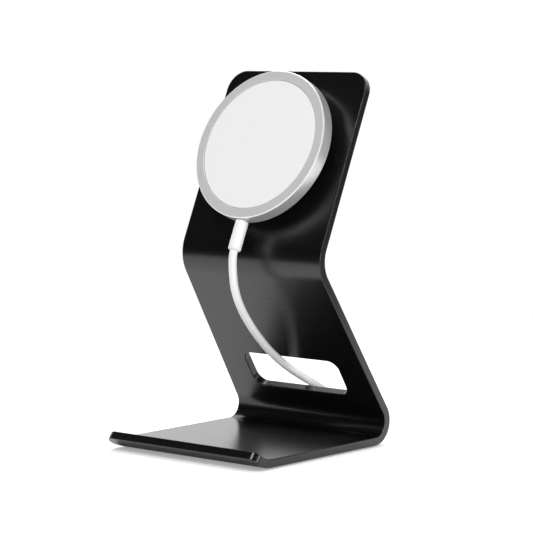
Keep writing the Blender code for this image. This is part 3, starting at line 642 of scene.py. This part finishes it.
# STRAIN RELIEF
# A moulded sleeve round the cord, with a neck that passes through the ring's wall.
# Its free end is eased so that the cord bends over a soft edge.
neck_radius, neck_end = 0.00145, -0.0020
sleeve_radius, sleeve_start, sleeve_end = 0.0023, 0.0003, 0.0110
relief = turned("cord_sleeve", eased([
    (0.0, neck_end), (neck_radius, neck_end), (neck_radius, sleeve_start),
    (sleeve_radius, sleeve_start), (sleeve_radius, 0.0108), (0.0020, sleeve_end), (0.0, sleeve_end),
], 0.0002, 4), relief_place, 64)
relief.data.materials.append(white_plastic)
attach(relief, "root")
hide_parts("strain_relief")


# CORD
# One metre of round white cord: from the sleeve down through the window to the table behind
# the stand, then wound in two layers, out of sight, with its end led up onto the winding.
cord_diameter = 0.0029
front_route = [  # millimetres
    (0.0, -7.91, 70.61), (0.0, -8.1, 70.2), (0.0, -8.55, 68.4), (0.0, -8.7, 65.8),
    (0.0, -8.5, 62.3), (0.0, -7.3, 56.3), (0.0, -4.5, 50.5), (0.0, 0.0, 44.4),
    (0.0, 6.0, 38.1), (0.0, 13.7, 31.6), (0.0, 22.6, 25.9), (0.0, 31.6, 21.2),
    (0.0, 40.3, 16.9), (-0.4, 45.2, 13.9), (-1.0, 49.7, 10.4), (-1.6, 53.6, 7.3),
    (-2.08, 56.95, 4.7), (-2.5, 60.4, 2.9),
]
tail_route = [
    (-46.7, 58.4, 8.5), (-42.9, 53.8, 9.2), (-39.3, 51.2, 9.6), (-35.8, 49.9, 9.85),
    (-32.5, 49.5, 9.9),
]
wind_centre = (-26.0, 68.0)
wind_turns, layer_turns, wind_pitch = 7.5, 3.75, 3.0
widest, narrowest, first_height = 23.125, 11.875, 2.1
wound = []
for step in range(1, 121):
    turn = step / 120 * wind_turns
    if turn <= layer_turns:  # the lower layer is wound inwards, the upper one outwards again
        radius = widest - wind_pitch * turn
    else:
        radius = narrowest + wind_pitch * (turn - layer_turns)
    climb = min(max((turn - layer_turns) / 0.22, 0.0), 1.0)
    height = first_height + wind_pitch * climb * climb * (3 - 2 * climb)
    angle = 2 * math.pi * turn
    wound.append((wind_centre[0] + radius * math.cos(angle),
                  wind_centre[1] + radius * math.sin(angle), height))
way = front_route + [(-2.8, 64.2, 2.2), (-2.875, 68.0, 2.1)] + wound + tail_route
cord_curve = bpy.data.curves.new("white_cord", "CURVE")
cord_curve.dimensions = "3D"
cord_curve.bevel_depth = cord_diameter / 2
cord_curve.bevel_resolution = 6
cord_curve.resolution_u = 6
cord_curve.use_fill_caps = True
line = cord_curve.splines.new("BEZIER")
line.bezier_points.add(len(way) - 1)
for point, place in zip(line.bezier_points, way):
    point.co = Vector(place) / 1000
    point.handle_left_type = point.handle_right_type = "AUTO"
cord = bpy.data.objects.new("white_cord", cord_curve)
bpy.context.scene.collection.objects.link(cord)
cord_white, tree, shader = new_finish("cord_white", (0.84, 0.84, 0.85), 0.4)
drawn = grain(tree, 1400.0, 2.0)
tree.links.new(tinted(tree, drawn, (0.85, 0.85, 0.85), (0.88, 0.88, 0.88)),
               shader.inputs["Base Color"])
tree.links.new(between(tree, drawn, 0.36, 0.46), shader.inputs["Roughness"])
raised(tree, shader, drawn, 0.000005, 0.5)
cord_curve.materials.append(cord_white)
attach(cord, "root")
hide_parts("cord_tube", "cord_coil", "cord_tail")


# TIE
# A soft black strap holds the wound cord, closed on itself with an overlap.
# It is woven nylon with a loop pile on its outside.
strap_width, strap_thickness, strap_slack = 0.0050, 0.0004, 0.0002
half_winding = 0.0030  # half of the two layers' height
inner_reach, outer_reach = 0.010375, 0.024625
nearest = math.sqrt(inner_reach ** 2 - (strap_width / 2) ** 2)
middle_reach, half_reach = (nearest + outer_reach) / 2, (outer_reach - nearest) / 2
strap = bmesh.new()
strap_rings = []
for grow, y in ((0.0, -1), (strap_thickness, -1), (strap_thickness, 1), (0.0, 1)):
    half_w, half_h = half_reach + strap_slack + grow, half_winding + strap_slack + grow
    corner = 0.0008 + grow
    ring_points = []
    for quarter in range(4):
        cx = (half_w - corner) * (1 if quarter in (0, 3) else -1)
        cz = (half_h - corner) * (1 if quarter in (0, 1) else -1)
        for step in range(7):
            turn = (quarter + step / 6) * math.pi / 2
            ring_points.append(strap.verts.new((
                middle_reach + cx + corner * math.cos(turn), y * strap_width / 2,
                half_winding + cz + corner * math.sin(turn),
            )))
    strap_rings.append(ring_points)
for one, other in zip(strap_rings, strap_rings[1:] + strap_rings[:1]):
    for k in range(len(one)):
        after = (k + 1) % len(one)
        strap.faces.new((one[k], one[after], other[after], other[k]))
tie_turn = math.radians(60.0)
tie_place = Matrix.Translation((wind_centre[0] / 1000, wind_centre[1] / 1000, 0.0006))
tie = finished("woven_tie", strap, tie_place @ Matrix.Rotation(tie_turn, 4, "Z"))
black_woven, tree, shader = new_finish("black_woven", (0.02, 0.02, 0.02), 0.85)
where = tree.nodes.new("ShaderNodeTexCoord")
ribs = tree.nodes.new("ShaderNodeTexWave")
ribs.inputs["Scale"].default_value = 900.0
ribs.inputs["Distortion"].default_value = 1.5
ribs.bands_direction = "Y"
tree.links.new(where.outputs["Object"], ribs.inputs["Vector"])
tree.links.new(tinted(tree, ribs.outputs["Fac"], (0.012, 0.012, 0.012), (0.03, 0.03, 0.03)),
               shader.inputs["Base Color"])
raised(tree, shader, ribs.outputs["Fac"], 0.00008)
shader.inputs["Sheen Weight"].default_value = 0.3
tie.data.materials.append(black_woven)
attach(tie, "root")
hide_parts("coil_tie")


# PLUG
# The cord ends in a plug: a white body moulded over the cord's end, a drawn steel shell and
# the plastic tongue in it. It lies on the wound cord, and its shell is open at the front.
plug_way = Vector(tail_route[-1]) - Vector(tail_route[-2])
plug_turn = math.atan2(plug_way.y, plug_way.x)
plug_place = Matrix.Translation(
    Vector(tail_route[-1]) / 1000 + Vector((math.cos(plug_turn), math.sin(plug_turn), 0)) * 0.0003
) @ Matrix.Rotation(plug_turn - math.pi / 2, 4, "Z") @ Matrix.Rotation(math.pi / 2, 4, "X")


def lofted(name, sections):
    """A solid through rounded oblongs of (width, height, corner, distance), along the plug."""
    shape = bmesh.new()
    rings = []
    for width, height, corner, along in sections:
        ring = []
        for quarter in range(4):
            cx = (width / 2 - corner) * (1 if quarter in (0, 3) else -1)
            cy = (height / 2 - corner) * (1 if quarter in (0, 1) else -1)
            for step in range(9):
                turn = (quarter + step / 8) * math.pi / 2
                ring.append(shape.verts.new((
                    cx + corner * math.cos(turn), cy + corner * math.sin(turn), -along)))
        rings.append(ring)
    for one, other in zip(rings, rings[1:]):
        for k in range(len(one)):
            after = (k + 1) % len(one)
            shape.faces.new((one[k], one[after], other[after], other[k]))
    shape.faces.new(rings[0])
    shape.faces.new(rings[-1])
    return finished(name, shape, plug_place)


neck_size, neck_corner = 0.0043, 0.0020
body_width, body_height, body_corner, body_length, nose_round = 0.0104, 0.0060, 0.0024, 0.0170, 0.0005
plug_sections = [(0.0040, 0.0040, 0.0019, 0.0), (neck_size, neck_size, neck_corner, 0.00015)]
for step in range(11):
    t = step / 10
    swell = t * t * (3 - 2 * t)
    plug_sections.append((
        neck_size + (body_width - neck_size) * swell, neck_size + (body_height - neck_size) * swell,
        neck_corner + (body_corner - neck_corner) * swell, 0.0006 + 0.0028 * t,
    ))
for step in range(6):
    t = step / 5 * math.pi / 2
    inset = nose_round * (1 - math.cos(t))
    plug_sections.append((
        body_width - 2 * inset, body_height - 2 * inset, body_corner - inset,
        body_length - nose_round + nose_round * math.sin(t),
    ))
moulded_plug = lofted("moulded_plug", plug_sections)
moulded_plug.data.materials.append(white_plastic)
drawn_shell = lofted("drawn_shell", [
    (0.0083, 0.0025, 0.00120, 0.01702), (0.0083, 0.0025, 0.00120, 0.02388),
    (0.00826, 0.00246, 0.00118, 0.02396), (0.00814, 0.00234, 0.00112, 0.0240),
    (0.00782, 0.00202, 0.00096, 0.0240), (0.0077, 0.0019, 0.00090, 0.0239),
    (0.0077, 0.0019, 0.00090, 0.0179),
])
drawn_shell.data.materials.append(steel)
for piece, node, slot in ((moulded_plug, "plug_body", "white_plastic"),
                          (drawn_shell, "plug_shell", "steel")):
    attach(piece, "root")
    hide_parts(node)
refinish("plug_tongue", black_plastic)


# TABLE AND LIGHT
# The stand is on a round white table in front of a white background. A large soft light hangs
# above and behind it, with small ones high in front, at the right and low at the front right.
# The studio is dark on the left and in front.
table_radius, fade_from, fade_to, table_glow = 0.42, 0.26, 0.40, 0.31
table = bmesh.new()
bmesh.ops.create_circle(table, cap_ends=True, segments=128, radius=table_radius)
table_mesh = bpy.data.meshes.new("table_top")
table.to_mesh(table_mesh)
table.free()
table_top = bpy.data.objects.new("table_top", table_mesh)
bpy.context.scene.collection.objects.link(table_top)
table_white = bpy.data.materials.new("table_white")
table_white.use_nodes = True
tree = table_white.node_tree
tree.nodes.clear()
out = tree.nodes.new("ShaderNodeOutputMaterial")
paper = tree.nodes.new("ShaderNodeBsdfDiffuse")
paper.inputs["Color"].default_value = (0.89, 0.89, 0.912, 1.0)
lit = tree.nodes.new("ShaderNodeEmission")
ray = tree.nodes.new("ShaderNodeLightPath")
both = tree.nodes.new("ShaderNodeAddShader")
camera_share = tree.nodes.new("ShaderNodeMath")
camera_share.operation = "MULTIPLY"
camera_share.inputs[1].default_value = table_glow
tree.links.new(ray.outputs["Is Camera Ray"], camera_share.inputs[0])
tree.links.new(camera_share.outputs["Value"], lit.inputs["Strength"])
tree.links.new(paper.outputs["BSDF"], both.inputs[0])
tree.links.new(lit.outputs["Emission"], both.inputs[1])
white = tree.nodes.new("ShaderNodeEmission")
where = tree.nodes.new("ShaderNodeTexCoord")
far = tree.nodes.new("ShaderNodeVectorMath")
far.operation = "LENGTH"
tree.links.new(where.outputs["Object"], far.inputs[0])
edge_share = between(tree, far.outputs["Value"], 0.0, 1.0, fade_from, fade_to)
near_white = tree.nodes.new("ShaderNodeMath")
near_white.operation = "MULTIPLY"
tree.links.new(edge_share, near_white.inputs[0])
tree.links.new(ray.outputs["Is Camera Ray"], near_white.inputs[1])
spread = tree.nodes.new("ShaderNodeMixShader")
tree.links.new(near_white.outputs["Value"], spread.inputs["Fac"])
tree.links.new(both.outputs["Shader"], spread.inputs[1])
tree.links.new(white.outputs["Emission"], spread.inputs[2])
tree.links.new(spread.outputs["Shader"], out.inputs["Surface"])
table_mesh.materials.append(table_white)

towards_backdrop, least_soft_light = (-0.645, 0.764, 0.0), 0.55
world = bpy.data.worlds.new("studio")
world.use_nodes = True
bpy.context.scene.world = world
tree = world.node_tree
tree.nodes.clear()
out = tree.nodes.new("ShaderNodeOutputWorld")
where = tree.nodes.new("ShaderNodeTexCoord")
behind = tree.nodes.new("ShaderNodeVectorMath")
behind.operation = "DOT_PRODUCT"
behind.inputs[1].default_value = towards_backdrop
tree.links.new(where.outputs["Generated"], behind.inputs[0])
across_share = between(tree, behind.outputs["Value"], 0.0, 1.1, 0.2, 0.75)
way_up = tree.nodes.new("ShaderNodeSeparateXYZ")
tree.links.new(where.outputs["Generated"], way_up.inputs["Vector"])
height_share = between(tree, way_up.outputs["Z"], 1.0, 0.0, 0.45, 0.7)
backdrop = tree.nodes.new("ShaderNodeMath")
backdrop.operation = "MULTIPLY"
tree.links.new(across_share, backdrop.inputs[0])
tree.links.new(height_share, backdrop.inputs[1])
backdrop_share = between(tree, backdrop.outputs["Value"], 0.015, 1.0, 0.0, 1.0)
ray = tree.nodes.new("ShaderNodeLightPath")
soft_share = tree.nodes.new("ShaderNodeMath")
soft_share.operation = "MULTIPLY"
soft_share.inputs[1].default_value = least_soft_light
tree.links.new(ray.outputs["Is Diffuse Ray"], soft_share.inputs[0])
lit_share = tree.nodes.new("ShaderNodeMath")
lit_share.operation = "MAXIMUM"
tree.links.new(backdrop_share, lit_share.inputs[0])
tree.links.new(soft_share.outputs["Value"], lit_share.inputs[1])
seen = tree.nodes.new("ShaderNodeMath")
seen.operation = "MAXIMUM"
tree.links.new(lit_share.outputs["Value"], seen.inputs[0])
tree.links.new(ray.outputs["Is Camera Ray"], seen.inputs[1])
sky = tree.nodes.new("ShaderNodeBackground")
sky.inputs["Color"].default_value = (1.0, 1.0, 1.0, 1.0)
tree.links.new(seen.outputs["Value"], sky.inputs["Strength"])
tree.links.new(sky.outputs["Background"], out.inputs["Surface"])


def soft_light(name, place, aim, width, height, watts):
    """A square soft light that faces a point."""
    data = bpy.data.lights.new(name, "AREA")
    data.shape = "RECTANGLE"
    data.size, data.size_y, data.energy = width, height, watts
    light = bpy.data.objects.new(name, data)
    bpy.context.scene.collection.objects.link(light)
    light.location = place
    light.rotation_mode = "QUATERNION"
    light.rotation_quaternion = (Vector(aim) - Vector(place)).to_track_quat("-Z", "Y")
    return light


soft_light("light_above", (-0.385, 0.46, 1.00), (0.0, 0.0, 0.0), 0.7, 0.7, 6.4)
soft_light("light_front", (0.06, -0.58, 0.90), (0.0, 0.0, 0.08), 0.25, 0.25, 3.1)
soft_light("light_right", (0.95, 0.25, 0.32), (0.0, 0.0, 0.06), 0.3, 0.3, 2.1)
soft_light("light_corner", (0.90, -0.34, 0.12), (0.0, 0.0, 0.06), 0.25, 0.25, 2.1)
